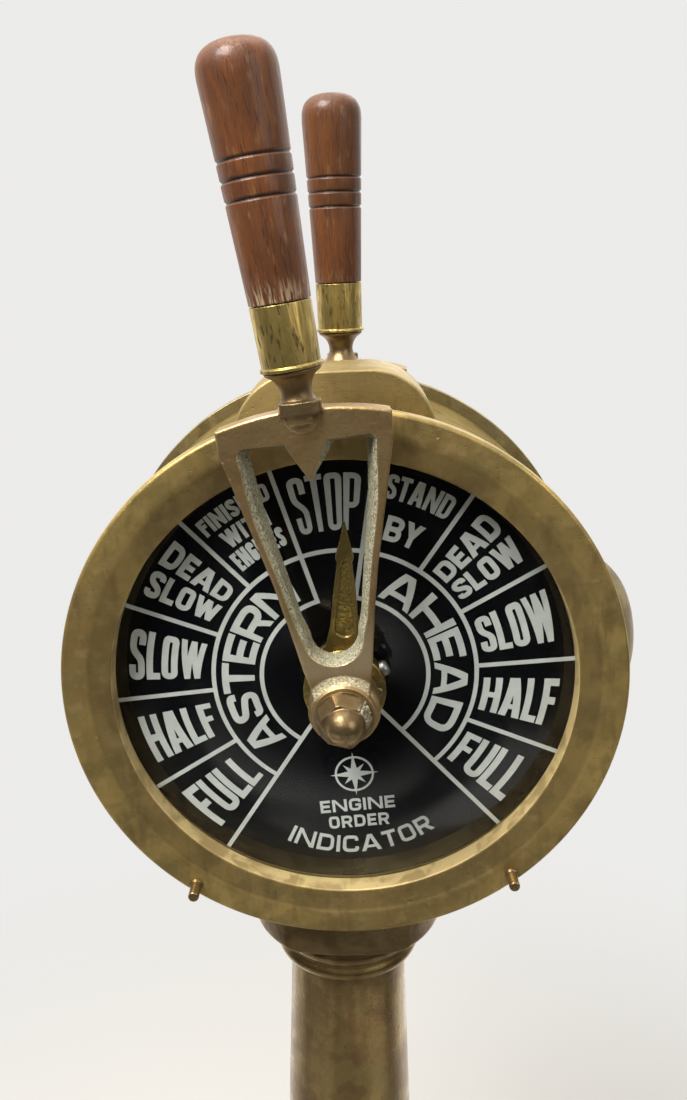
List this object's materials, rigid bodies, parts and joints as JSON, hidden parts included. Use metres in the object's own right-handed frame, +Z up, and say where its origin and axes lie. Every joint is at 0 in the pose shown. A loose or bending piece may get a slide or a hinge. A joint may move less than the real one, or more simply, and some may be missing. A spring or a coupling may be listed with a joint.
{
  "type": "ship engine telegraph",
  "caption": "Pedestal engine order telegraph with a two-faced round brass head, an order lever and a reply pointer on each face, and order chains in the column.",
  "frame": {"origin": "centre of the underside of the base, on the column's axis", "axes": "+Z up; the front dial faces -Y; +X is to the right of somebody who reads the front dial"},
  "size_m": [0.34, 0.34, 1.2527],
  "materials": {
    "aged_brass": "aged turned brass, brown-olive patina with worn edges",
    "cast_brass": "cast brass, handled, warm brown",
    "bright_brass": "yellow brass, lightly tarnished with dark pits",
    "wood": "turned hardwood, oiled, reddish brown",
    "dial_black": "gloss black enamel with white markings",
    "glass": "clear flat glass",
    "steel": "plain machined steel",
    "iron": "dark cast iron"
  },
  "bodies": {
    "pedestal": {"back_bezel": "aged_brass", "back_bridge": "iron", "back_dial": "dial_black", "back_glass": "glass", "back_plunger_spring": "steel", "back_stop_pin_left": "bright_brass", "back_stop_pin_right": "bright_brass", "base_flange": "cast_brass", "centre_bridge": "iron", "collar": "aged_brass", "column": "aged_brass", "drum_body": "aged_brass", "front_bezel": "aged_brass", "front_bridge": "iron", "front_dial": "dial_black", "front_glass": "glass", "front_plunger_spring": "steel", "front_stop_pin_left": "bright_brass", "front_stop_pin_right": "bright_brass", "gong": "bright_brass", "gong_stud": "steel", "lamp_bulb": "glass", "lamp_house": "aged_brass", "lamp_socket": "cast_brass", "saddle": "cast_brass", "side_cap": "aged_brass"},
    "front_lever": {"front_lever_casting": "cast_brass", "front_lever_ferrule": "bright_brass", "front_lever_grip": "wood", "front_hub_washer": "cast_brass", "front_hub_nut": "cast_brass", "front_lever_shaft": "steel", "front_order_sprocket": "steel", "front_star_wheel": "steel", "front_order_chain_wrap": "steel"},
    "front_reply": {"front_pointer": "bright_brass", "front_pointer_screw": "steel", "front_pointer_sleeve": "bright_brass", "front_reply_sprocket": "steel"},
    "front_chain_left_run": {"front_order_chain_left": "steel"},
    "front_chain_right_run": {"front_order_chain_right": "steel"},
    "front_plunger": {"front_order_plunger": "steel"},
    "back_lever": {"back_lever_casting": "cast_brass", "back_lever_ferrule": "bright_brass", "back_lever_grip": "wood", "back_hub_washer": "cast_brass", "back_hub_nut": "cast_brass", "back_lever_shaft": "steel", "back_order_sprocket": "steel", "back_star_wheel": "steel", "back_order_chain_wrap": "steel"},
    "back_reply": {"back_pointer": "bright_brass", "back_pointer_screw": "steel", "back_pointer_sleeve": "bright_brass", "back_reply_sprocket": "steel"},
    "back_chain_left_run": {"back_order_chain_left": "steel"},
    "back_chain_right_run": {"back_order_chain_right": "steel"},
    "back_plunger": {"back_order_plunger": "steel"},
    "hammer": {"gong_hammer": "steel"}
  },
  "joints": [
    {"name": "front_lever_turn", "type": "hinge", "parent": "pedestal", "child": "front_lever", "pos_m": [0, -0.09, 0.94], "axis": [0, 1, 0], "range_deg": [-118.5, 128.5]},
    {"name": "front_pointer_turn", "type": "hinge", "parent": "pedestal", "child": "front_reply", "pos_m": [0, -0.07, 0.94], "axis": [0, 1, 0], "range_deg": [-135, 135]},
    {"name": "front_chain_right_slide", "type": "slide", "parent": "pedestal", "child": "front_chain_right_run", "axis": [0, 0, 1], "range_m": [-0.053, 0.053]},
    {"name": "front_chain_left_slide", "type": "slide", "parent": "pedestal", "child": "front_chain_left_run", "axis": [0, 0, 1], "range_m": [-0.053, 0.053]},
    {"name": "front_plunger_drop", "type": "slide", "parent": "pedestal", "child": "front_plunger", "axis": [0, 0, 1], "range_m": [-0.0025, 0], "deforming": ["front_plunger_spring"]},
    {"name": "back_lever_turn", "type": "hinge", "parent": "pedestal", "child": "back_lever", "pos_m": [0, 0.09, 0.94], "axis": [0, -1, 0], "range_deg": [-122, 125]},
    {"name": "back_pointer_turn", "type": "hinge", "parent": "pedestal", "child": "back_reply", "pos_m": [0, 0.07, 0.94], "axis": [0, -1, 0], "range_deg": [-135, 135]},
    {"name": "back_chain_right_slide", "type": "slide", "parent": "pedestal", "child": "back_chain_right_run", "axis": [0, 0, 1], "range_m": [-0.053, 0.053]},
    {"name": "back_chain_left_slide", "type": "slide", "parent": "pedestal", "child": "back_chain_left_run", "axis": [0, 0, 1], "range_m": [-0.053, 0.053]},
    {"name": "back_plunger_drop", "type": "slide", "parent": "pedestal", "child": "back_plunger", "axis": [0, 0, 1], "range_m": [-0.0025, 0], "deforming": ["back_plunger_spring"]},
    {"name": "hammer_swing", "type": "hinge", "parent": "pedestal", "child": "hammer", "pos_m": [0.08022, -0.0105, 0.98082], "axis": [0, -1, 0], "range_deg": [-8, 2.4]}
  ],
  "couplings": [
    {"joint": "front_chain_right_slide", "follows": "front_lever_turn", "m_per_rad": -0.02265},
    {"joint": "front_chain_left_slide", "follows": "front_lever_turn", "m_per_rad": 0.02265},
    {"joint": "back_chain_right_slide", "follows": "back_lever_turn", "m_per_rad": -0.02265},
    {"joint": "back_chain_left_slide", "follows": "back_lever_turn", "m_per_rad": 0.02265}
  ]
}
